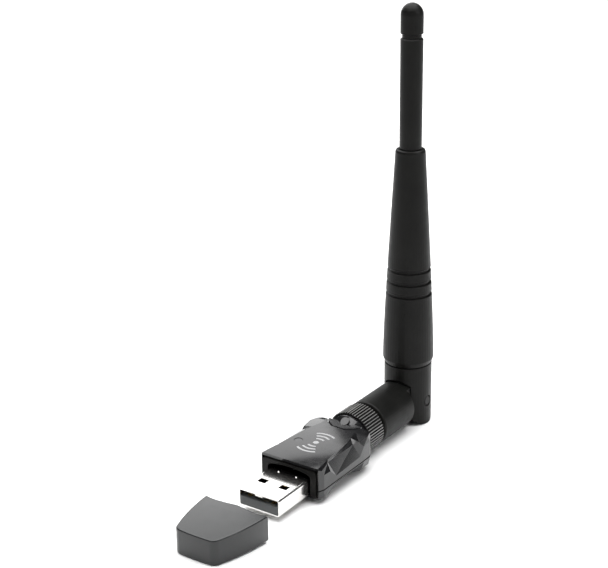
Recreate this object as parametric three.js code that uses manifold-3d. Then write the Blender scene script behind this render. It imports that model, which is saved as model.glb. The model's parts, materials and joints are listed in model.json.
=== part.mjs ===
// USB wifi adapter with a hinged antenna, drawn in millimetres with +Z up.
// The origin is the centre of the USB plug's front face, +X runs along the plug
// towards the antenna, and +Y is the adapter's left side.
import * as THREE from 'three';
import { mergeVertices } from 'three/addons/utils/BufferGeometryUtils.js';
import Module from 'manifold-3d';

const wasm = await Module();
wasm.setup();

// ---------------------------------------------------------------- driving dimensions

// USB type A plug
const plugWidth = 12.0;
const plugHeight = 4.5;
const plugSheet = 0.3;
const plugLength = 18.6;
const plugCorner = 0.65;
const windowWidth = 2.4;
const windowLength = 1.9;
const windowStart = 5.1;
const windowCentreY = 3.15;
const dimpleX = 11.9;
const dimpleY = 2.65;
const tongueTop = 0.35;
const tongueGap = 0.05;
const contactYs = { vbus: -3.5, data_minus: -1.0, data_plus: 1.0, ground: 3.5 };
const contactWidth = 1.0;
const contactThickness = 0.2;
const contactEnd = 20.6;

// Housing
const frontX = 12.9;
const rearX = 38.0;
const topZ = 5.65;
const bottomZ = -3.1;
const footChamfer = 0.4;
const seamRise = 0.4;
const partingZ = -0.45;
const partingGap = 0.3;
const wall = 1.0;
const openingHalfWidth = 8.3;
const openingTop = 4.95;
const floorZ = -2.35;
const bezelFront = 12.4;
const bezelGap = 0.3;
const mouthHalfWidth = 6.4;
const mouthSideZ = 3.5;
const mouthCrownZ = 4.1;

// Half of the housing, front to rear. Each row gives [x, y] of the foot, [x, y] of the seam
// line, [x, y, z] of the upright wall's top, [x, y, z] of the shoulder above it, and [x, y]
// of the ridge where the facets meet the top face.
const stations = [
  [[12.9, 8.6], [12.9, 8.6], [12.9, 8.6, 4.9], [12.9, 8.5, 5.3], [12.9, 8.35]],
  [[14.4, 9.2], [14.4, 9.2], [14.4, 9.2, 3.6], [14.0, 8.8, 4.8], [13.6, 8.2]],
  [[16.3, 9.0], [17.3, 9.2], [17.3, 9.15, 3.4], [17.7, 8.0, 5.1], [17.8, 7.7]],
  [[19.9, 7.4], [19.7, 9.2], [19.7, 9.2, 1.1], [18.2, 7.75, 5.05], [18.4, 7.55]],
  [[30.0, 7.4], [30.7, 9.2], [30.7, 9.2, 1.5], [29.4, 7.8, 5.05], [29.4, 6.5]],
  [[31.9, 8.8], [32.4, 9.2], [32.4, 9.2, 3.6], [31.2, 8.45, 5.2], [31.2, 6.0]],
  [[35.3, 8.7], [35.4, 9.1], [35.4, 9.1, 3.9], [34.7, 8.9, 5.35], [34.6, 5.2]],
  [[36.8, 7.9], [36.8, 8.4], [36.8, 8.4, 4.1], [36.7, 8.2, 5.35], [36.3, 5.3]],
  [[37.8, 7.0], [38.0, 7.2], [38.0, 7.2, 4.3], [37.9, 7.0, 5.3], [37.4, 5.6]],
];

// Rear deck, the part of the lower shell that shows in the cover's notch
const notchFrontX = 34.3;
const notchFrontHalf = 2.0;
const notchMiddleX = 36.1;
const notchMiddleHalf = 4.5;
const notchRearHalf = 5.5;
const notchGap = 0.5;
const deckZ = 5.6;
const neckRadius = 6.0;
const neckStart = 36.9;
const neckEnd = 39.4;
const neckRoot = 4.4;
const neckRim = 0.5;
const buttonX = 37.7;
const buttonRadius = 1.15;
const buttonGroove = 0.35;

// Status light window in the cover
const ledX = 23.3;
const ledY = 4.6;
const ledRadius = 1.05;

// Circuit board
const boardBottom = 0.65;
const boardThickness = 0.8;
const boardHalfWidth = 4.9;
const boardStart = 18.9;
const boardEnd = 33.9;

// Protective cap, shown pulled off in front of the plug
const capMouthX = -8.7;
const capLength = 16.1;
const capBottom = -3.15;
const capTop = 3.45;
const capMouthHalfWidth = 9.1;
const capEndHalfWidth = 6.2;
const capRound = 0.4;
const capPocketMouthHalf = 7.7;
const capPocketHalfWidth = 6.2;
const capPocketHalfHeight = 2.6;
const capPocketDepth = 13.1;

// Antenna connector, nut and swivel barrel, all on one axis
const axisZ = 1.0;
const jackRadius = 3.1;
const jackBore = 2.2;
const jackEnd = 45.2;
const nutFront = 39.8;
const nutRear = 46.95;
const nutRadius = 6.55;
const nutRibDepth = 0.5;
const nutRibs = 52;
const barrelFront = 47.7;
const barrelRadius = 6.3;
const shoulderX = 62.4;
const hingeX = 69.4;
const barrelTongueHalf = 3.75;
const coreRadius = 3.7;

// Hinge knuckle and mast, heights measured up from the hinge
const knuckleRadius = 6.5;
const knuckleEnd = 6.7;
const forkHalfGap = 4.0;
const forkArch = 6.75;
const pinRadius = 1.25;
const pinClearance = 0.3;
const sleeveBase = 10.9;
const sleeveTop = 70.6;
const sleeveFootRadius = 6.93;
const sleeveHeadRadius = 3.98;
const grooveHeights = [31.0, 34.4, 37.8];
const rodRadius = 2.93;
const rodBottom = 62.3;
const rodTop = 99.4;
const tipTop = 108.3;
const tipDome = 3.0;

// Longer than any feature that a cutting block passes through
const far = 100;

// ---------------------------------------------------------------- solids

// Merges shared corners, turns the faces outwards and returns a closed solid.
function solid(geometry) {
  const bare = new THREE.BufferGeometry();
  bare.setAttribute('position', geometry.getAttribute('position').clone());
  if (geometry.index) {
    bare.setIndex(Array.from(geometry.index.array));
  }
  const merged = mergeVertices(bare, 1e-4);
  const vertProperties = new Float32Array(merged.getAttribute('position').array);
  const corners = Array.from(merged.index.array);
  const kept = [];
  for (let i = 0; i < corners.length; i += 3) {
    const [a, b, c] = corners.slice(i, i + 3);
    if (a !== b && b !== c && c !== a) {
      kept.push(a, b, c);
    }
  }
  const at = (k) => new THREE.Vector3().fromArray(vertProperties, 3 * k);
  let volume = 0;
  for (let i = 0; i < kept.length; i += 3) {
    volume += at(kept[i]).dot(at(kept[i + 1]).cross(at(kept[i + 2])));
  }
  if (volume < 0) {
    for (let i = 0; i < kept.length; i += 3) {
      [kept[i + 1], kept[i + 2]] = [kept[i + 2], kept[i + 1]];
    }
  }
  const triVerts = new Uint32Array(kept);
  return new wasm.Manifold(new wasm.Mesh({ numProp: 3, vertProperties, triVerts }));
}

// Turns a closed solid back into a geometry.
function geometryOf(body) {
  const mesh = body.getMesh();
  const geometry = new THREE.BufferGeometry();
  const positions = new Float32Array(mesh.vertProperties);
  geometry.setAttribute('position', new THREE.BufferAttribute(positions, 3));
  geometry.setIndex(new THREE.BufferAttribute(new Uint32Array(mesh.triVerts), 1));
  geometry.computeVertexNormals();
  return geometry;
}

function box(x0, x1, y0, y1, z0, z1) {
  const geometry = new THREE.BoxGeometry(x1 - x0, y1 - y0, z1 - z0);
  geometry.translate((x0 + x1) / 2, (y0 + y1) / 2, (z0 + z1) / 2);
  return solid(geometry);
}

// Extrudes a plan drawn in X and Y upwards from z0 to z1.
function extrudeUp(shape, z0, z1, segments = 6) {
  const geometry = new THREE.ExtrudeGeometry(shape, {
    depth: z1 - z0,
    bevelEnabled: false,
    curveSegments: segments,
  });
  geometry.translate(0, 0, z0);
  return solid(geometry);
}

// Extrudes a section drawn in Y and Z along X from x0 to x1.
function extrudeAlong(shape, x0, x1, segments = 6) {
  const geometry = new THREE.ExtrudeGeometry(shape, {
    depth: x1 - x0,
    bevelEnabled: false,
    curveSegments: segments,
  });
  const sectionToWorld = new THREE.Matrix4().makeBasis(
    new THREE.Vector3(0, 1, 0),
    new THREE.Vector3(0, 0, 1),
    new THREE.Vector3(1, 0, 0),
  );
  geometry.applyMatrix4(sectionToWorld);
  geometry.translate(x0, 0, 0);
  return solid(geometry);
}

// Turns a profile of [radius, position] about the antenna's axis, along X.
function turnedAlongX(profile, segments = 40) {
  const points = profile.map(([r, x]) => new THREE.Vector2(r, x));
  const geometry = new THREE.LatheGeometry(points, segments);
  geometry.rotateZ(-Math.PI / 2);
  geometry.translate(0, 0, axisZ);
  return solid(geometry);
}

// Turns a profile of [radius, height above the hinge] about the mast's upright axis.
function turnedUpright(profile, segments = 40) {
  const points = profile.map(([r, z]) => new THREE.Vector2(r, z));
  const geometry = new THREE.LatheGeometry(points, segments);
  geometry.rotateX(Math.PI / 2);
  geometry.translate(hingeX, 0, axisZ);
  return solid(geometry);
}

// A solid round bar between two places on the antenna's axis.
function bar(radius, x0, x1, segments = 40) {
  return turnedAlongX([[0, x0], [radius, x0], [radius, x1], [0, x1]], segments);
}

// A cylinder across the adapter, through the hinge.
function crossBar(radius, y0, y1, segments = 32) {
  const geometry = new THREE.CylinderGeometry(radius, radius, y1 - y0, segments);
  geometry.translate(hingeX, (y0 + y1) / 2, axisZ);
  return solid(geometry);
}

function roundedRectangle(width, height, radius, centreY = 0, centreZ = 0) {
  const w = width / 2;
  const h = height / 2;
  const shape = new THREE.Shape();
  shape.moveTo(centreY - w + radius, centreZ - h);
  shape.lineTo(centreY + w - radius, centreZ - h);
  shape.absarc(centreY + w - radius, centreZ - h + radius, radius, -Math.PI / 2, 0, false);
  shape.lineTo(centreY + w, centreZ + h - radius);
  shape.absarc(centreY + w - radius, centreZ + h - radius, radius, 0, Math.PI / 2, false);
  shape.lineTo(centreY - w + radius, centreZ + h);
  shape.absarc(centreY - w + radius, centreZ + h - radius, radius, Math.PI / 2, Math.PI, false);
  shape.lineTo(centreY - w, centreZ - h + radius);
  shape.absarc(centreY - w + radius, centreZ - h + radius, radius, Math.PI, 1.5 * Math.PI, false);
  return shape;
}

// A closed solid through level rings that all have the same number of points.
function lofted(rings) {
  const count = rings[0].length;
  const positions = rings.flat(2);
  const triangles = [];
  for (let level = 0; level + 1 < rings.length; level += 1) {
    for (let i = 0; i < count; i += 1) {
      const a = level * count + i;
      const b = level * count + ((i + 1) % count);
      triangles.push(a, b, b + count, a, b + count, a + count);
    }
  }
  const planOf = (ring) => ring.map(([x, y]) => new THREE.Vector2(x, y));
  const lastStart = (rings.length - 1) * count;
  for (const [a, b, c] of THREE.ShapeUtils.triangulateShape(planOf(rings[0]), [])) {
    triangles.push(a, c, b);
  }
  for (const [a, b, c] of THREE.ShapeUtils.triangulateShape(planOf(rings.at(-1)), [])) {
    triangles.push(a + lastStart, b + lastStart, c + lastStart);
  }
  const geometry = new THREE.BufferGeometry();
  geometry.setAttribute('position', new THREE.Float32BufferAttribute(positions, 3));
  geometry.setIndex(triangles);
  return solid(geometry);
}

// Mirrors half an outline, given front to rear for -Y, into a full anticlockwise ring.
function mirrored(half) {
  const right = half.map(([x, y, z]) => [x, -y, z]);
  const left = half.map(([x, y, z]) => [x, y, z]).reverse();
  return [...right, ...left];
}

// ---------------------------------------------------------------- USB plug

function usbShell() {
  const outer = extrudeAlong(roundedRectangle(plugWidth, plugHeight, plugCorner), 0, plugLength);
  const innerWidth = plugWidth - 2 * plugSheet;
  const innerHeight = plugHeight - 2 * plugSheet;
  const innerCorner = plugCorner - plugSheet;
  let shell = outer.subtract(
    extrudeAlong(roundedRectangle(innerWidth, innerHeight, innerCorner), -1, plugLength + 1),
  );
  for (const y of [-windowCentreY, windowCentreY]) {
    const halfWidth = windowWidth / 2;
    shell = shell.subtract(
      box(windowStart, windowStart + windowLength, y - halfWidth, y + halfWidth, -plugHeight, plugHeight),
    );
  }
  // a small tab folded down from the top sheet at the mouth
  const tab = box(0, 1.2, -1.1, 1.1, plugHeight / 2 - plugSheet - 0.35, plugHeight / 2 - 0.05);
  shell = shell.add(tab);
  // stamped dimples near the root
  for (const y of [-dimpleY, dimpleY]) {
    const dimple = new THREE.SphereGeometry(0.45, 16, 8);
    dimple.translate(dimpleX, y, plugHeight / 2 - 0.2);
    shell = shell.add(solid(dimple));
  }
  return shell;
}

function usbTongue() {
  const width = plugWidth - 2 * plugSheet - 2 * tongueGap;
  const height = plugHeight - 2 * plugSheet - 2 * tongueGap;
  const section = roundedRectangle(width, height, plugCorner - plugSheet);
  const aboveTongue = box(-1, 12.6, -plugWidth, plugWidth, tongueTop, plugHeight);
  let body = extrudeAlong(section, 0, plugLength - 0.2, 3).subtract(aboveTongue);
  for (const y of Object.values(contactYs)) {
    const half = contactWidth / 2 + tongueGap;
    body = body.subtract(box(0.6, plugLength, y - half, y + half, tongueTop, tongueTop + 0.4));
  }
  return body;
}

function usbContact(y) {
  const start = Math.abs(y) > 2 ? 0.9 : 1.9;
  const bottom = tongueTop + 0.02;
  const half = contactWidth / 2;
  return box(start, contactEnd, y - half, y + half, bottom, bottom + contactThickness);
}

// ---------------------------------------------------------------- housing

function housingOutside() {
  const centreX = (frontX + rearX) / 2;
  const rings = [[], [], [], [], [], []];
  for (const [foot, seam, wallTop, shoulder, ridge] of stations) {
    const inwards = Math.sign(centreX - foot[0]) * footChamfer;
    rings[0].push([foot[0] + inwards, foot[1] - footChamfer, bottomZ]);
    rings[1].push([...foot, bottomZ + footChamfer]);
    rings[2].push([...seam, partingZ - seamRise]);
    rings[3].push(wallTop);
    rings[4].push(shoulder);
    rings[5].push([...ridge, topZ]);
  }
  return lofted(rings.map(mirrored));
}

// The space inside both shells: wide around the plug, narrow behind it.
function housingInside() {
  const front = box(14.2, 19.4, -6.9, 6.9, floorZ, topZ - wall);
  const rear = box(19.0, 36.6, -5.1, 5.1, floorZ, deckZ - wall);
  return front.add(rear);
}

// The opening in the front wall that takes the bezel.
function frontOpening() {
  return box(frontX - 1, 14.3, -openingHalfWidth, openingHalfWidth, floorZ, openingTop);
}

// The outline of the cover's rear notch, drawn in by a margin.
function notchPlan(margin) {
  const half = [
    [notchFrontX + margin, notchFrontHalf - margin / 2],
    [notchMiddleX + margin / 2, notchMiddleHalf - margin],
    [rearX - 0.6, notchRearHalf - margin],
    [rearX + 1, notchRearHalf - margin],
  ];
  const shape = new THREE.Shape();
  shape.moveTo(half[0][0], -half[0][1]);
  for (const [x, y] of half.slice(1)) {
    shape.lineTo(x, -y);
  }
  for (const [x, y] of half.reverse()) {
    shape.lineTo(x, y);
  }
  return shape;
}

function topCover() {
  const upperHalf = box(0, far, -far, far, partingZ + partingGap / 2, far);
  const ledHole = new THREE.CylinderGeometry(ledRadius + 0.1, ledRadius + 0.1, 4, 24);
  ledHole.rotateX(Math.PI / 2);
  ledHole.translate(ledX, ledY, topZ);
  return housingOutside()
    .intersect(upperHalf)
    .subtract(housingInside())
    .subtract(frontOpening())
    .subtract(extrudeUp(notchPlan(0), partingZ, topZ + 1))
    .subtract(solid(ledHole));
}

// A disc on the neck's slope, from below it to above it.
function slopeDisc(radius, below, above) {
  const run = neckEnd - neckRim - neckStart;
  const rise = neckRadius - neckRoot;
  const surfaceZ = axisZ + neckRoot + (rise * (buttonX - neckStart)) / run;
  const disc = new THREE.CylinderGeometry(radius, radius, above + below, 32);
  disc.rotateX(Math.PI / 2);
  disc.translate(0, 0, (above - below) / 2);
  disc.rotateY(-Math.atan2(rise, run));
  disc.translate(buttonX, 0, surfaceZ);
  return solid(disc);
}

// The lower shell carries the rear deck, its round button and the neck around the antenna jack.
function bottomShell() {
  const lowerHalf = box(0, far, -far, far, -far, partingZ - partingGap / 2);
  const deckEnd = box(0, rearX, -far, far, -far, far);
  const deck = extrudeUp(notchPlan(notchGap), partingZ - 1, deckZ).intersect(deckEnd);
  const neck = turnedAlongX([
    [0, neckStart],
    [neckRoot, neckStart],
    [neckRadius, neckEnd - neckRim],
    [neckRadius, neckEnd],
    [0, neckEnd],
  ], 48);
  const insideNotch = notchRearHalf - notchGap;
  const insideCover = box(0, rearX + 0.3, -insideNotch, insideNotch, 0, far);
  const behindCover = box(rearX + 0.3, far, -far, far, bottomZ, far);
  const clearOfCover = insideCover.add(behindCover);
  return housingOutside()
    .intersect(lowerHalf)
    .add(deck)
    .add(neck.intersect(clearOfCover))
    .subtract(slopeDisc(buttonRadius + buttonGroove, 0.4, 2))
    .add(slopeDisc(buttonRadius, 1.0, 0.15))
    .subtract(housingInside())
    .subtract(frontOpening())
    .subtract(bar(jackRadius + 0.15, 30, far, 32));
}

// The bezel frames the mouth that the plug comes out of.
function frontBezel() {
  const half = openingHalfWidth - bezelGap;
  const outer = new THREE.Shape();
  outer.moveTo(-half, floorZ + 0.05);
  outer.lineTo(half, floorZ + 0.05);
  outer.lineTo(half, openingTop - bezelGap - 0.5);
  outer.lineTo(half - 0.5, openingTop - bezelGap);
  outer.lineTo(-half + 0.5, openingTop - bezelGap);
  outer.lineTo(-half, openingTop - bezelGap - 0.5);
  const mouth = new THREE.Shape();
  mouth.moveTo(-mouthHalfWidth, floorZ - 1);
  mouth.lineTo(mouthHalfWidth, floorZ - 1);
  mouth.lineTo(mouthHalfWidth, mouthSideZ - 1.2);
  mouth.quadraticCurveTo(mouthHalfWidth, mouthSideZ, mouthHalfWidth - 1.6, mouthSideZ + 0.15);
  mouth.quadraticCurveTo(0, 2 * mouthCrownZ - mouthSideZ - 0.15, -mouthHalfWidth + 1.6, mouthSideZ + 0.15);
  mouth.quadraticCurveTo(-mouthHalfWidth, mouthSideZ, -mouthHalfWidth, mouthSideZ - 1.2);
  return extrudeAlong(outer, bezelFront, 14.1).subtract(extrudeAlong(mouth, 0, 30));
}

function ledWindow() {
  const thickness = 1.6;
  const lens = new THREE.CylinderGeometry(ledRadius, ledRadius, thickness, 24);
  lens.rotateX(Math.PI / 2);
  lens.translate(ledX, ledY, topZ - 0.1 - thickness / 2);
  return solid(lens);
}

// ---------------------------------------------------------------- cap

function capOutside() {
  const mouth = capMouthX - capRound;
  const end = capMouthX - capLength + capRound;
  const mouthHalf = capMouthHalfWidth - capRound;
  const endHalf = capEndHalfWidth - capRound;
  const shape = new THREE.Shape();
  shape.moveTo(mouth, -mouthHalf);
  shape.bezierCurveTo(mouth - 0.6, -6.4, mouth - 0.1, -3.6, mouth + 0.42, 0);
  shape.bezierCurveTo(mouth - 0.1, 3.6, mouth - 0.6, 6.4, mouth, mouthHalf);
  shape.bezierCurveTo(mouth - 4.5, mouthHalf - 0.35, mouth - 9.0, mouthHalf - 1.1, end + 1.2, endHalf);
  shape.quadraticCurveTo(end, endHalf - 0.5, end, endHalf - 1.7);
  shape.quadraticCurveTo(end - 0.25, 0, end, -endHalf + 1.7);
  shape.quadraticCurveTo(end, -endHalf + 0.5, end + 1.2, -endHalf);
  shape.bezierCurveTo(mouth - 9.0, -mouthHalf + 1.1, mouth - 4.5, -mouthHalf + 0.35, mouth, -mouthHalf);
  const geometry = new THREE.ExtrudeGeometry(shape, {
    depth: capTop - capBottom - 2 * capRound,
    bevelEnabled: true,
    bevelThickness: capRound,
    bevelSize: capRound,
    bevelSegments: 3,
    curveSegments: 10,
  });
  geometry.translate(0, 0, capBottom + capRound);
  return solid(geometry);
}

// The pocket is wide at the mouth and narrows to a close fit on the plug.
function capPocket() {
  const pocket = new THREE.Shape();
  pocket.moveTo(capMouthX + 5, -capPocketMouthHalf);
  pocket.lineTo(capMouthX + 5, capPocketMouthHalf);
  pocket.lineTo(capMouthX - 1, capPocketMouthHalf);
  pocket.lineTo(capMouthX - 8, capPocketHalfWidth);
  pocket.lineTo(capMouthX - capPocketDepth, capPocketHalfWidth);
  pocket.lineTo(capMouthX - capPocketDepth, -capPocketHalfWidth);
  pocket.lineTo(capMouthX - 8, -capPocketHalfWidth);
  pocket.lineTo(capMouthX - 1, -capPocketMouthHalf);
  return extrudeUp(pocket, -capPocketHalfHeight, capPocketHalfHeight);
}

function protectiveCap() {
  return capOutside().subtract(capPocket());
}

// ---------------------------------------------------------------- circuit board

function circuitBoard() {
  const length = boardEnd - boardStart;
  const board = roundedRectangle(length, 2 * boardHalfWidth, 0.5, boardStart + length / 2, 0);
  return extrudeUp(board, boardBottom, boardBottom + boardThickness, 3);
}

function chip(centreX, centreY, length, width, height) {
  const seat = boardBottom + boardThickness + 0.02;
  const x = centreX - length / 2;
  const y = centreY - width / 2;
  return box(x, x + length, y, y + width, seat, seat + height);
}

// ---------------------------------------------------------------- antenna connector

function antennaJack() {
  const flangeHalf = 3.0;
  const flange = box(34.6, 36.3, -flangeHalf, flangeHalf, axisZ - flangeHalf, axisZ + flangeHalf);
  const legs = box(32.4, 34.8, -flangeHalf, flangeHalf, axisZ - 1.4, axisZ + 1.4);
  const legGap = box(30, 34.4, -9, 9, boardBottom - 0.1, boardBottom + boardThickness + 0.1);
  const profile = [[0, 35.0], [jackRadius, 35.0], [jackRadius, 40.6]];
  for (let thread = 0; thread < 6; thread += 1) {
    const x = 40.6 + 0.72 * thread;
    profile.push([jackRadius, x + 0.1], [jackRadius - 0.3, x + 0.36], [jackRadius, x + 0.62]);
  }
  profile.push([jackRadius, jackEnd], [0, jackEnd]);
  return flange
    .add(legs)
    .add(turnedAlongX(profile, 32))
    .subtract(legGap)
    .subtract(bar(jackBore, 36.9, 60, 24))
    .subtract(bar(0.8, 30, 40, 16));
}

function nutSleeve() {
  const shape = new THREE.Shape();
  const pitch = (2 * Math.PI) / nutRibs;
  for (let rib = 0; rib < nutRibs; rib += 1) {
    const steps = [[0.0, 0], [0.28, 0], [0.42, nutRibDepth], [0.86, nutRibDepth]];
    for (const [share, depth] of steps) {
      const angle = (rib + share) * pitch;
      const radius = nutRadius - depth;
      const y = radius * Math.cos(angle);
      const z = axisZ + radius * Math.sin(angle);
      if (rib === 0 && share === 0) {
        shape.moveTo(y, z);
      } else {
        shape.lineTo(y, z);
      }
    }
  }
  const chamfer = 0.7;
  const envelope = turnedAlongX([
    [0, nutFront],
    [nutRadius - 0.25, nutFront],
    [nutRadius + 0.05, nutFront + 0.3],
    [nutRadius + 0.05, nutRear - chamfer],
    [nutRadius - 0.6, nutRear],
    [0, nutRear],
  ], 52);
  return extrudeAlong(shape, nutFront, nutRear)
    .intersect(envelope)
    .subtract(bar(5.3, nutFront - 1, 46.4, 40))
    .subtract(bar(4.0, nutFront - 1, nutRear + 1, 32));
}

// A knurled brass ring with the nut's thread, pressed into the ribbed sleeve.
function nutInsert() {
  return bar(5.2, 40.2, 45.3, 40).subtract(bar(jackRadius + 0.15, 30, 60, 32));
}

function plugCore() {
  const flange = bar(4.9, 45.55, 46.1, 32);
  const stem = bar(coreRadius, 46.0, 54.8, 32);
  return flange.add(stem).subtract(bar(1.9, 40, 60, 24));
}

// ---------------------------------------------------------------- swivel barrel

function swivelBarrel() {
  const cylinder = turnedAlongX([
    [0, barrelFront],
    [barrelRadius - 0.5, barrelFront],
    [barrelRadius - 0.12, barrelFront + 0.2],
    [barrelRadius, barrelFront + 0.6],
    [barrelRadius, hingeX],
    [0, hingeX],
  ], 56);
  const end = new THREE.SphereGeometry(barrelRadius, 56, 24);
  end.rotateZ(Math.PI / 2);
  end.translate(hingeX, 0, axisZ);
  const rightCut = box(shoulderX, hingeX + far, -far, -barrelTongueHalf, -far, far);
  const leftCut = box(shoulderX, hingeX + far, barrelTongueHalf, far, -far, far);
  const cableSlot = box(hingeX - 1.4, hingeX + far, -1.4, 1.4, axisZ - 1.4, axisZ + far);
  return cylinder
    .add(solid(end))
    .subtract(rightCut)
    .subtract(leftCut)
    .subtract(bar(coreRadius + 0.05, 40, 55.1, 32))
    .subtract(bar(1.4, 50, hingeX, 20))
    .subtract(cableSlot)
    .subtract(crossBar(pinRadius + 0.05, -far, -2.2))
    .subtract(crossBar(pinRadius + 0.05, 2.2, far));
}

function hingePin(side) {
  const inner = 2.3;
  const outer = knuckleRadius - 0.15;
  return side > 0 ? crossBar(pinRadius, inner, outer) : crossBar(pinRadius, -outer, -inner);
}

// ---------------------------------------------------------------- mast

function hingeKnuckle() {
  const spigotRadius = 4.7;
  const post = turnedUpright([
    [0, -knuckleEnd],
    [knuckleRadius, -knuckleEnd],
    [knuckleRadius, sleeveBase - 0.3],
    [spigotRadius, sleeveBase - 0.3],
    [spigotRadius, 19.0],
    [0, 19.0],
  ], 48);
  const above = box(hingeX - far, hingeX + far, -far, far, axisZ, axisZ + far);
  const roundedEnd = crossBar(knuckleEnd, -far, far, 48).add(above);
  const arch = bar(forkArch, hingeX - far, hingeX + far, 56);
  const forkTop = axisZ + forkArch + 1;
  const forkSlot = box(hingeX - far, hingeX + far, -forkHalfGap, forkHalfGap, -far, forkTop);
  const below = box(hingeX - far, hingeX + far, -far, far, -far, axisZ);
  const cableBore = turnedUpright([[0, 0], [1.3, 0], [1.3, 30], [0, 30]], 16);
  return post
    .intersect(roundedEnd)
    .subtract(forkSlot.intersect(arch.add(below)))
    .subtract(cableBore)
    .subtract(crossBar(pinRadius + pinClearance, -far, far));
}

// Outer profile of the tapered sleeve: a gentle curve at the foot, then a straight taper.
function mastSleeve() {
  const outline = new THREE.CubicBezierCurve(
    new THREE.Vector2(sleeveFootRadius, sleeveBase),
    new THREE.Vector2(sleeveFootRadius - 0.05, 20.0),
    new THREE.Vector2(sleeveFootRadius - 0.55, 29.5),
    new THREE.Vector2(sleeveHeadRadius, sleeveTop - 0.7),
  );
  const radiusAt = (height) => {
    let low = 0;
    let high = 1;
    for (let step = 0; step < 40; step += 1) {
      const middle = (low + high) / 2;
      if (outline.getPoint(middle).y < height) {
        low = middle;
      } else {
        high = middle;
      }
    }
    return outline.getPoint(low).x;
  };
  const profile = [
    [5.0, sleeveBase],
    [sleeveFootRadius - 0.5, sleeveBase],
    [sleeveFootRadius, sleeveBase + 1.3],
  ];
  const plain = [16.0, 21.0, 26.0];
  for (const height of plain) {
    profile.push([radiusAt(height), height]);
  }
  const halfGroove = 0.55;
  const grooveDepth = 0.55;
  for (const height of grooveHeights) {
    profile.push([radiusAt(height - halfGroove), height - halfGroove]);
    profile.push([radiusAt(height) - grooveDepth, height - 0.2]);
    profile.push([radiusAt(height) - grooveDepth, height + 0.2]);
    profile.push([radiusAt(height + halfGroove), height + halfGroove]);
  }
  for (let height = 43.0; height < sleeveTop - 3; height += 6.2) {
    profile.push([radiusAt(height), height]);
  }
  profile.push([sleeveHeadRadius, sleeveTop - 0.7], [sleeveHeadRadius - 0.2, sleeveTop - 0.2]);
  profile.push([sleeveHeadRadius - 0.55, sleeveTop], [rodRadius + 0.15, sleeveTop]);
  profile.push([rodRadius + 0.15, 62.0], [2.2, 62.0], [2.2, 22.0], [5.0, 19.5], [5.0, sleeveBase]);
  return turnedUpright(profile, 48);
}

function whipRod() {
  return turnedUpright([
    [1.3, rodBottom],
    [rodRadius, rodBottom],
    [rodRadius, rodTop - 0.25],
    [rodRadius - 0.25, rodTop],
    [1.3, rodTop],
    [1.3, rodBottom],
  ], 36);
}

function tipCap() {
  const dome = new THREE.EllipseCurve(0, 0, rodRadius, tipDome, 0, Math.PI / 2, false);
  const neck = rodRadius - 0.42;
  const profile = [[0, 96.5], [1.15, 96.5], [1.15, rodTop + 0.1], [neck, rodTop + 0.1]];
  profile.push([neck, rodTop + 1.0], [rodRadius, rodTop + 1.25]);
  for (const point of dome.getPoints(7)) {
    profile.push([Math.max(point.x, 0), tipTop - tipDome + point.y]);
  }
  profile[profile.length - 1][0] = 0;
  return turnedUpright(profile, 36);
}

// ---------------------------------------------------------------- assembly

const finishes = {
  glossBlack: { color: 0x17181a, roughness: 0.18, metalness: 0.0 },
  satinBlack: { color: 0x141515, roughness: 0.45, metalness: 0.0 },
  nickel: { color: 0xd8d6d0, roughness: 0.22, metalness: 1.0 },
  greyPlastic: { color: 0x3a3f40, roughness: 0.55, metalness: 0.0 },
  gold: { color: 0xd9b25a, roughness: 0.25, metalness: 1.0 },
  board: { color: 0x12452b, roughness: 0.5, metalness: 0.0 },
  chip: { color: 0x1c1c1e, roughness: 0.6, metalness: 0.0 },
  steel: { color: 0xb9bbbd, roughness: 0.3, metalness: 1.0 },
  white: { color: 0xe9e7e0, roughness: 0.5, metalness: 0.0 },
  lens: { color: 0x2a2d30, roughness: 0.1, metalness: 0.0 },
  cable: { color: 0x5a3b24, roughness: 0.5, metalness: 0.0 },
};

function part(name, body, finish) {
  const material = new THREE.MeshStandardMaterial(finishes[finish]);
  const mesh = new THREE.Mesh(geometryOf(body), material);
  mesh.name = name;
  return mesh;
}

const adapter = new THREE.Group();

const plug = new THREE.Group();
plug.add(part('usb_shell', usbShell(), 'nickel'));
plug.add(part('usb_tongue', usbTongue(), 'greyPlastic'));
for (const [signal, y] of Object.entries(contactYs)) {
  plug.add(part(`usb_contact_${signal}`, usbContact(y), 'gold'));
}

const housing = new THREE.Group();
housing.add(part('top_cover', topCover(), 'glossBlack'));
housing.add(part('bottom_shell', bottomShell(), 'glossBlack'));
housing.add(part('front_bezel', frontBezel(), 'satinBlack'));
housing.add(part('led_window', ledWindow(), 'lens'));

const electronics = new THREE.Group();
electronics.add(part('circuit_board', circuitBoard(), 'board'));
electronics.add(part('wifi_chip', chip(26.4, -0.6, 5.0, 5.0, 0.8), 'chip'));
electronics.add(part('crystal', chip(30.6, 2.2, 2.5, 2.0, 0.6), 'steel'));
electronics.add(part('regulator', chip(21.4, -2.4, 2.9, 1.6, 1.0), 'chip'));
electronics.add(part('status_led', chip(ledX, ledY - 0.55, 1.6, 0.8, 0.6), 'white'));

const connector = new THREE.Group();
connector.add(part('antenna_jack', antennaJack(), 'gold'));
const jackInsulator = bar(jackBore - 0.05, 37.0, 44.6, 24).subtract(bar(0.5, 30, 60, 12));
connector.add(part('jack_insulator', jackInsulator, 'white'));
connector.add(part('jack_pin', bar(0.45, 34.6, 44.9, 12), 'gold'));

const nut = new THREE.Group();
nut.add(part('nut_sleeve', nutSleeve(), 'satinBlack'));
nut.add(part('nut_insert', nutInsert(), 'gold'));

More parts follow.
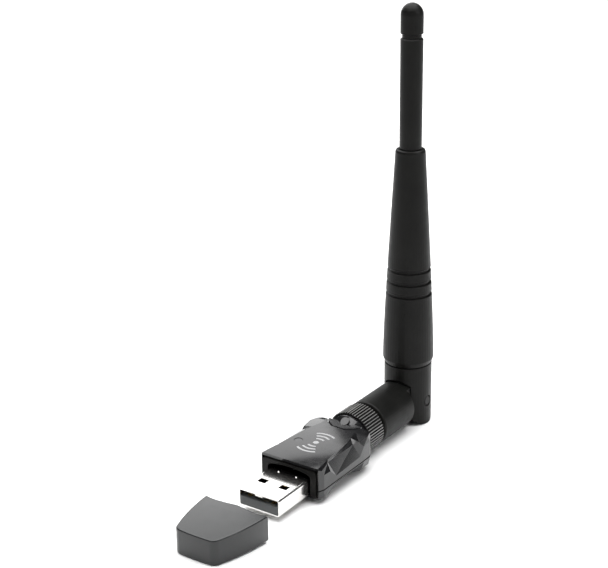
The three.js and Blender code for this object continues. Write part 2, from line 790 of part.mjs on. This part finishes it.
const barrel = new THREE.Group();
barrel.add(part('plug_core', plugCore(), 'gold'));
const plugInsulator = bar(1.85, 45.6, 54.6, 24).subtract(bar(0.75, 40, 60, 12));
barrel.add(part('plug_insulator', plugInsulator, 'white'));
barrel.add(part('plug_socket', bar(0.7, 45.4, 54.9, 12), 'gold'));
barrel.add(part('swivel_barrel', swivelBarrel(), 'satinBlack'));
barrel.add(part('hinge_pin_right', hingePin(-1), 'satinBlack'));
barrel.add(part('hinge_pin_left', hingePin(1), 'satinBlack'));
barrel.add(part('feed_lead', bar(0.9, 55.4, hingeX - 2.0, 12), 'cable'));

const mast = new THREE.Group();
mast.add(part('hinge_knuckle', hingeKnuckle(), 'satinBlack'));
mast.add(part('mast_sleeve', mastSleeve(), 'satinBlack'));
mast.add(part('whip_rod', whipRod(), 'satinBlack'));
mast.add(part('tip_cap', tipCap(), 'satinBlack'));
const feedCable = turnedUpright([[0, 2.0], [0.9, 2.0], [0.9, 59.6], [0, 59.6]], 12);
const radiatorSleeve = turnedUpright([[1.5, 24], [2.0, 24], [2.0, 58], [1.5, 58], [1.5, 24]], 20);
const radiatorWire = turnedUpright([[0, 60.0], [0.5, 60.0], [0.5, 95.8], [0, 95.8]], 10);
mast.add(part('feed_cable', feedCable, 'cable'));
mast.add(part('radiator_sleeve', radiatorSleeve, 'gold'));
mast.add(part('radiator_wire', radiatorWire, 'gold'));

adapter.add(part('cap', protectiveCap(), 'glossBlack'));
adapter.add(plug, housing, electronics, connector, nut, barrel, mast);

export default adapter;
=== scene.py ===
import json
import math

import bmesh
import bpy
from mathutils import Matrix, Vector


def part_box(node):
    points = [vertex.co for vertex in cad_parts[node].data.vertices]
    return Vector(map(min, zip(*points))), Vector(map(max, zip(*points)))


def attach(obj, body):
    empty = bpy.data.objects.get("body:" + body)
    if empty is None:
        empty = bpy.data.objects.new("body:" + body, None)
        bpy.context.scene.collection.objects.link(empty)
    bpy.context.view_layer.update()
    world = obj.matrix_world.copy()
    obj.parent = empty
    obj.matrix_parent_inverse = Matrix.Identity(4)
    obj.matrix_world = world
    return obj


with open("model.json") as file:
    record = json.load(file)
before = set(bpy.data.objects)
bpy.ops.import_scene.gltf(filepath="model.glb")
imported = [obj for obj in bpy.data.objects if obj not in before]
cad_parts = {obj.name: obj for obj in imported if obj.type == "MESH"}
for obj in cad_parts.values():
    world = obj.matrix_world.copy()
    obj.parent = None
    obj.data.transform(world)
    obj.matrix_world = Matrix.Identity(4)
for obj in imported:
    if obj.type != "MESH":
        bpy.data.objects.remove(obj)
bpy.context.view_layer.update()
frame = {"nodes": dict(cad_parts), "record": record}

MM = 0.001

# The camera: where it stands, which way it looks and its lens.
CAMERA_PLACE = Vector((-239.49, -182.38, 170.32)) * MM
CAMERA_HEADING = math.radians(35.073)
CAMERA_PITCH = math.radians(20.81)
CAMERA_ROLL = math.radians(0.914)
CAMERA_LENS = 84.23
CAMERA_SENSOR = 36
CAMERA_NEAR = 0.01
CAMERA_FAR = 20

# The printed mark on the cover: a dot with signal arcs on both sides.
MARK_CENTRE = Vector((24.4, 0.0)) * MM
MARK_DOT_RADIUS = 0.75 * MM
MARK_ARC_RADII = [2.1 * MM, 3.6 * MM, 5.1 * MM]
MARK_ARC_HALF_ANGLE = math.radians(32)
MARK_STROKE = 0.55 * MM
MARK_THICKNESS = 0.02 * MM
MARK_SINK = 0.01 * MM
MARK_DOT_POINTS = 32
MARK_ARC_STEPS = 20

# How far each CAD node's sharp edges are rounded in the render.
SOFT_EDGES = {
    "top_cover": 0.25 * MM,
    "bottom_shell": 0.25 * MM,
    "front_bezel": 0.15 * MM,
    "cap": 0.2 * MM,
}

# Soft lights: place, the point it faces, width and height in metres, and power in watts.
WORLD_COLOUR = (0.95, 0.97, 1.0)
WORLD_STRENGTH = 0.12
SOFTBOXES = {
    "overhead_box": ((0.1, 0.08, 0.95), (0.03, 0, 0), (1.3, 1.3), 26.0),
    "back_left_box": ((0.58, 0.77, 0.52), (0.03, 0, 0), (0.7, 0.6), 3.0),
    "right_box": ((0.12, -0.6, 0.38), (0.03, 0, 0), (0.4, 0.3), 1.2),
}
FLOOR_HALF = 3.0
FLOOR_SHADES = (0.86, 0.86, 0.86), (0.89, 0.89, 0.89)
FLOOR_PATCH = 0.2

# The scale of the detail in every material, and where most of a noise's values lie.
NOISE_LOW = 0.3
NOISE_HIGH = 0.7
PLASTIC_PATCH = 6 * MM
PLASTIC_SMEAR = 2.5 * MM
TARNISH_PATCH = 4 * MM
DRAWN_LINE = 0.08 * MM
COAT_ROUGHNESS = 0.1
COAT_IOR = 1.55

# The nut's ribs stand round the antenna connector's axis. Their crests carry a painted highlight,
# a lighter colour that fades in between these two radii.
ANTENNA_AXIS = (0, 0, 1.0 * MM)
NUT_HIGHLIGHT_START = 6.3 * MM
NUT_HIGHLIGHT_FULL = 6.5 * MM
NUT_CREST_HIGHLIGHT_COLOUR = (0.13, 0.13, 0.125)

# The cover's top and the cap are very slightly domed.
COVER_CROWN_CENTRE = Vector((37.0, 3.0, 0.0)) * MM
COVER_CROWN_RADIUS = 150 * MM
CAP_CROWN_CENTRE = Vector((-16.0, 0.0, 0.0)) * MM
CAP_CROWN_RADIUS = 160 * MM


def camera():
    """The camera looks along its heading, tipped down and rolled a little."""
    heading, pitch, roll = CAMERA_HEADING, CAMERA_PITCH, CAMERA_ROLL
    forward = Vector((
        math.cos(pitch) * math.cos(heading),
        math.cos(pitch) * math.sin(heading),
        -math.sin(pitch),
    ))
    right = Vector((math.sin(heading), -math.cos(heading), 0))
    down = forward.cross(right)
    rolled_right = math.cos(roll) * right + math.sin(roll) * down
    rolled_down = math.cos(roll) * down - math.sin(roll) * right
    turn = Matrix((rolled_right, -rolled_down, -forward)).transposed()
    data = bpy.data.cameras.new("camera")
    data.lens = CAMERA_LENS
    data.sensor_width = CAMERA_SENSOR
    data.clip_start = CAMERA_NEAR
    data.clip_end = CAMERA_FAR
    made = bpy.data.objects.new("camera", data)
    made.matrix_world = Matrix.Translation(CAMERA_PLACE) @ turn.to_4x4()
    bpy.context.scene.collection.objects.link(made)
    bpy.context.scene.camera = made


# ------------------------------------------------------------------ materials

def node_material(name):
    """An empty node material with its Principled shader and object coordinates."""
    made = bpy.data.materials.new(name)
    made.use_nodes = True
    nodes = made.node_tree.nodes
    shader = nodes["Principled BSDF"]
    where = nodes.new("ShaderNodeTexCoord")
    return made, shader, where.outputs["Object"]


def noise(material, where, size, detail=3.0, stretch=(1, 1, 1)):
    """Noise whose features are about size metres across, stretched along each axis."""
    nodes = material.node_tree.nodes
    links = material.node_tree.links
    mapping = nodes.new("ShaderNodeMapping")
    mapping.inputs["Scale"].default_value = [1 / (size * s) for s in stretch]
    texture = nodes.new("ShaderNodeTexNoise")
    texture.inputs["Scale"].default_value = 1.0
    texture.inputs["Detail"].default_value = detail
    links.new(where, mapping.inputs["Vector"])
    links.new(mapping.outputs["Vector"], texture.inputs["Vector"])
    return texture.outputs["Fac"]


def between(material, value, low, high):
    """Maps a noise value onto low to high."""
    node = material.node_tree.nodes.new("ShaderNodeMapRange")
    node.inputs["From Min"].default_value = NOISE_LOW
    node.inputs["From Max"].default_value = NOISE_HIGH
    node.inputs["To Min"].default_value = low
    node.inputs["To Max"].default_value = high
    material.node_tree.links.new(value, node.inputs["Value"])
    return node.outputs["Result"]


def colour_between(material, value, dark, light):
    """Maps a noise value onto two colours."""
    node = material.node_tree.nodes.new("ShaderNodeValToRGB")
    node.color_ramp.elements[0].position = NOISE_LOW
    node.color_ramp.elements[0].color = (*dark, 1)
    node.color_ramp.elements[1].position = NOISE_HIGH
    node.color_ramp.elements[1].color = (*light, 1)
    material.node_tree.links.new(value, node.inputs["Fac"])
    return node.outputs["Color"]


def bump(material, height, distance, below=None):
    """The surface normal over a height, on top of another bump if one is given."""
    node = material.node_tree.nodes.new("ShaderNodeBump")
    node.inputs["Strength"].default_value = 1.0
    node.inputs["Distance"].default_value = distance
    links = material.node_tree.links
    links.new(height, node.inputs["Height"])
    if below:
        links.new(below, node.inputs["Normal"])
    return node.outputs["Normal"]


def vector_from(material, where, centre, kept_axes):
    """The vector from a centre to each point, with only the axes marked 1 kept."""
    nodes = material.node_tree.nodes
    links = material.node_tree.links
    away = nodes.new("ShaderNodeVectorMath")
    away.operation = "SUBTRACT"
    away.inputs[1].default_value = centre
    links.new(where, away.inputs[0])
    kept = nodes.new("ShaderNodeVectorMath")
    kept.operation = "MULTIPLY"
    kept.inputs[1].default_value = kept_axes
    links.new(away.outputs["Vector"], kept.inputs[0])
    return kept.outputs["Vector"]


def crown(material, where, centre, radius):
    """The height of a very shallow dome of that radius of curvature over a point."""
    nodes = material.node_tree.nodes
    links = material.node_tree.links
    flat = vector_from(material, where, centre, (1, 1, 0))
    square = nodes.new("ShaderNodeVectorMath")
    square.operation = "DOT_PRODUCT"
    links.new(flat, square.inputs[0])
    links.new(flat, square.inputs[1])
    height = nodes.new("ShaderNodeMath")
    height.operation = "MULTIPLY"
    height.inputs[1].default_value = -0.5 / radius
    links.new(square.outputs["Value"], height.inputs[0])
    return height.outputs["Value"]


def moulded(
    name, dark, light, rough, grain=0.15 * MM, depth=0.004 * MM, coat=0.0, specular=0.5, dome=None
):
    """Moulded plastic: slight colour drift, uneven sheen, a fine grain and maybe a shallow dome."""
    made, shader, where = node_material(name)
    links = made.node_tree.links
    patches = noise(made, where, PLASTIC_PATCH)
    links.new(colour_between(made, patches, dark, light), shader.inputs["Base Color"])
    smears = noise(made, where, PLASTIC_SMEAR, detail=5)
    links.new(between(made, smears, *rough), shader.inputs["Roughness"])
    normal = bump(made, noise(made, where, grain, detail=2), depth)
    if dome:
        normal = bump(made, crown(made, where, *dome), 1.0, below=normal)
    links.new(normal, shader.inputs["Normal"])
    links.new(normal, shader.inputs["Coat Normal"])
    shader.inputs["Specular IOR Level"].default_value = specular
    shader.inputs["Coat Weight"].default_value = coat
    shader.inputs["Coat Roughness"].default_value = COAT_ROUGHNESS
    shader.inputs["Coat IOR"].default_value = COAT_IOR
    return made


def painted_crest_highlights(material):
    """Paints a highlight on the crests of the nut's ribs, lighter in colour than the gaps between
    them.
    """
    nodes = material.node_tree.nodes
    links = material.node_tree.links
    shader = nodes["Principled BSDF"]
    where = nodes.new("ShaderNodeTexCoord").outputs["Object"]
    radius = nodes.new("ShaderNodeVectorMath")
    radius.operation = "LENGTH"
    links.new(vector_from(material, where, ANTENNA_AXIS, (0, 1, 1)), radius.inputs[0])
    crest = nodes.new("ShaderNodeMapRange")
    crest.inputs["From Min"].default_value = NUT_HIGHLIGHT_START
    crest.inputs["From Max"].default_value = NUT_HIGHLIGHT_FULL
    links.new(radius.outputs["Value"], crest.inputs["Value"])
    # Mixes the lighter crest colour over the base colour: a painted highlight, not wear.
    mix = nodes.new("ShaderNodeMix")
    mix.data_type = "RGBA"
    colour_in = shader.inputs["Base Color"].links[0].from_socket
    links.new(crest.outputs["Result"], mix.inputs["Factor"])
    colours = [socket for socket in mix.inputs if socket.type == "RGBA"]
    links.new(colour_in, colours[0])
    colours[1].default_value = (*NUT_CREST_HIGHLIGHT_COLOUR, 1)
    mixed = [socket for socket in mix.outputs if socket.type == "RGBA"]
    links.new(mixed[0], shader.inputs["Base Color"])


def metal(name, dark, light, rough, brushed=(12, 1, 1), depth=0.0008 * MM):
    """Plated metal with faint drawing lines."""
    made, shader, where = node_material(name)
    links = made.node_tree.links
    shader.inputs["Metallic"].default_value = 1.0
    tarnish = noise(made, where, TARNISH_PATCH)
    links.new(colour_between(made, tarnish, dark, light), shader.inputs["Base Color"])
    lines = noise(made, where, DRAWN_LINE, detail=4, stretch=brushed)
    links.new(between(made, lines, *rough), shader.inputs["Roughness"])
    links.new(bump(made, lines, depth), shader.inputs["Normal"])
    return made


COVER_GLOSS = moulded(
    "cover_gloss",
    (0.004, 0.004, 0.0045),
    (0.006, 0.006, 0.0065),
    rough=(0.11, 0.16),
    grain=0.9 * MM,
    depth=0.0006 * MM,
    coat=0.3,
    dome=(COVER_CROWN_CENTRE, COVER_CROWN_RADIUS),
)
CAP_GLOSS = moulded(
    "cap_gloss",
    (0.006, 0.0068, 0.007),
    (0.008, 0.009, 0.0092),
    rough=(0.2, 0.26),
    grain=0.9 * MM,
    depth=0.0008 * MM,
    coat=0.2,
    specular=0.36,
    dome=(CAP_CROWN_CENTRE, CAP_CROWN_RADIUS),
)
GLOSS_BLACK = moulded(
    "gloss_black",
    (0.004, 0.004, 0.0045),
    (0.006, 0.006, 0.0065),
    rough=(0.16, 0.22),
    grain=0.9 * MM,
    depth=0.0006 * MM,
    coat=0.15,
)
SATIN_BLACK = moulded(
    "satin_black", (0.0042, 0.0042, 0.0038), (0.0062, 0.0062, 0.0056), (0.36, 0.46), specular=0.13
)
NUT_BLACK = moulded("nut_black", (0.004, 0.004, 0.0042), (0.006, 0.006, 0.0062), (0.2, 0.28), coat=0.4)
# The rib crests get a painted highlight: a lighter colour on the crests.
painted_crest_highlights(NUT_BLACK)
NICKEL = metal("nickel", (0.78, 0.77, 0.74), (0.88, 0.87, 0.85), (0.12, 0.2))
GOLD = metal("gold", (0.75, 0.52, 0.2), (0.9, 0.68, 0.32), (0.15, 0.28))
STEEL = metal("steel", (0.5, 0.5, 0.51), (0.64, 0.64, 0.65), (0.25, 0.4))
TONGUE_GREY = moulded("tongue_grey", (0.05, 0.055, 0.055), (0.07, 0.075, 0.075), (0.45, 0.6))
BOARD_GREEN = moulded("board_green", (0.01, 0.07, 0.03), (0.014, 0.1, 0.045), (0.3, 0.42))
CHIP_BLACK = moulded("chip_black", (0.014, 0.014, 0.015), (0.02, 0.02, 0.021), (0.5, 0.65))
WHITE_PLASTIC = moulded("white_plastic", (0.72, 0.7, 0.65), (0.82, 0.8, 0.75), (0.4, 0.55))
SMOKED_LENS = moulded("smoked_lens", (0.012, 0.012, 0.014), (0.02, 0.02, 0.022), (0.04, 0.1))
COAX_BROWN = moulded("coax_brown", (0.1, 0.05, 0.025), (0.15, 0.075, 0.035), (0.35, 0.5))
MARK_SILVER = moulded("mark_silver", (0.27, 0.27, 0.275), (0.36, 0.36, 0.365), (0.35, 0.45), 0.08 * MM)

SLOT_MATERIALS = {
    "gloss_black": GLOSS_BLACK,
    "satin_black": SATIN_BLACK,
    "nickel": NICKEL,
    "gold": GOLD,
    "steel": STEEL,
    "grey_plastic": TONGUE_GREY,
    "board_green": BOARD_GREEN,
    "chip_black": CHIP_BLACK,
    "white_plastic": WHITE_PLASTIC,
    "smoked_lens": SMOKED_LENS,
    "coax_brown": COAX_BROWN,
}

# Nodes whose finish differs a little from the rest of their slot. The nut's material also carries a
# painted highlight on its rib crests.
NODE_MATERIALS = {
    "nut_sleeve": NUT_BLACK,
    "top_cover": COVER_GLOSS,
    "cap": CAP_GLOSS,
}


def paint_cad_nodes():
    """Gives each CAD node the material of its slot, or its own."""
    for row in frame["record"]["subparts"]:
        node = frame["nodes"][row["node"]]
        material = SLOT_MATERIALS[row["material_slot"]]
        material = NODE_MATERIALS.get(row["node"], material)
        node.data.materials.clear()
        node.data.materials.append(material)


# ------------------------------------------------------------------ soft edges

def soften(node, width, angle=30, segments=3):
    """Rounds a CAD node's sharp edges for the render."""
    made = frame["nodes"][node].modifiers.new("soft_edges", "BEVEL")
    made.width = width
    made.segments = segments
    made.limit_method = "ANGLE"
    made.angle_limit = math.radians(angle)
    made.harden_normals = False
    made.use_clamp_overlap = True


# ------------------------------------------------------------------ printed mark

def prism(mesh, outline, low, high):
    """Adds a closed prism over a plan outline."""
    bottom = [mesh.verts.new((x, y, low)) for x, y in outline]
    top = [mesh.verts.new((x, y, high)) for x, y in outline]
    mesh.faces.new(list(reversed(bottom)))
    mesh.faces.new(top)
    count = len(outline)
    for i in range(count):
        j = (i + 1) % count
        mesh.faces.new((bottom[i], bottom[j], top[j], top[i]))


def printed_mark():
    """A dot with signal arcs on both sides, a printed layer just proud of the cover."""
    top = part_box("top_cover")[1][2]
    mesh = bmesh.new()
    dot = []
    for step in range(MARK_DOT_POINTS):
        angle = 2 * math.pi * step / MARK_DOT_POINTS
        dot.append((
            MARK_CENTRE.x + MARK_DOT_RADIUS * math.cos(angle),
            MARK_CENTRE.y + MARK_DOT_RADIUS * math.sin(angle),
        ))
    prism(mesh, dot, top - MARK_SINK, top + MARK_THICKNESS)
    for side in (0, math.pi):
        for radius in MARK_ARC_RADII:
            outer = []
            inner = []
            for step in range(MARK_ARC_STEPS + 1):
                angle = side + MARK_ARC_HALF_ANGLE * (2 * step / MARK_ARC_STEPS - 1)
                way = Vector((math.cos(angle), math.sin(angle)))
                outer.append(MARK_CENTRE + way * (radius + MARK_STROKE / 2))
                inner.append(MARK_CENTRE + way * (radius - MARK_STROKE / 2))
            outline = [tuple(p) for p in outer + list(reversed(inner))]
            prism(mesh, outline, top - MARK_SINK, top + MARK_THICKNESS)
    data = bpy.data.meshes.new("printed_mark")
    bmesh.ops.recalc_face_normals(mesh, faces=mesh.faces)
    mesh.to_mesh(data)
    mesh.free()
    data.materials.append(MARK_SILVER)
    made = bpy.data.objects.new("printed_mark", data)
    bpy.context.scene.collection.objects.link(made)
    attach(made, "adapter")


# ------------------------------------------------------------------ stage

def floor():
    """A pale floor that touches the lowest point of the fork and the cap's front edge."""
    fork_low, fork_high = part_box("hinge_knuckle")
    cap_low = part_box("cap")[0]
    fork_x = (fork_low[0] + fork_high[0]) / 2
    slope = math.atan2(cap_low[2] - fork_low[2], fork_x - cap_low[0])
    data = bpy.data.meshes.new("floor")
    half = FLOOR_HALF
    corners = [(-half, -half, 0), (half, -half, 0), (half, half, 0), (-half, half, 0)]
    data.from_pydata(corners, [], [(0, 1, 2, 3)])
    made = bpy.data.objects.new("floor", data)
    made.location = (fork_x, 0, fork_low[2])
    made.rotation_euler = (0, slope, 0)
    material, shader, where = node_material("floor")
    shade = colour_between(material, noise(material, where, FLOOR_PATCH), *FLOOR_SHADES)
    material.node_tree.links.new(shade, shader.inputs["Base Color"])
    shader.inputs["Roughness"].default_value = 0.9
    data.materials.append(material)
    bpy.context.scene.collection.objects.link(made)


def softbox(name, place, target, size, power):
    """A rectangular area light that faces a point."""
    data = bpy.data.lights.new(name, "AREA")
    data.shape = "RECTANGLE"
    data.size, data.size_y = size
    data.energy = power
    made = bpy.data.objects.new(name, data)
    made.location = place
    aim = Vector(target) - Vector(place)
    made.rotation_euler = aim.to_track_quat("-Z", "Y").to_euler()
    bpy.context.scene.collection.objects.link(made)


def studio_light():
    """A wide box overhead, one behind on the left and a small one low on the right."""
    world = bpy.data.worlds.new("studio")
    world.use_nodes = True
    background = world.node_tree.nodes["Background"]
    background.inputs["Color"].default_value = (*WORLD_COLOUR, 1)
    background.inputs["Strength"].default_value = WORLD_STRENGTH
    bpy.context.scene.world = world
    for name, setting in SOFTBOXES.items():
        softbox(name, *setting)
    bpy.context.scene.view_settings.view_transform = "Standard"


camera()
paint_cad_nodes()
for name, width in SOFT_EDGES.items():
    soften(name, width)
printed_mark()
floor()
studio_light()
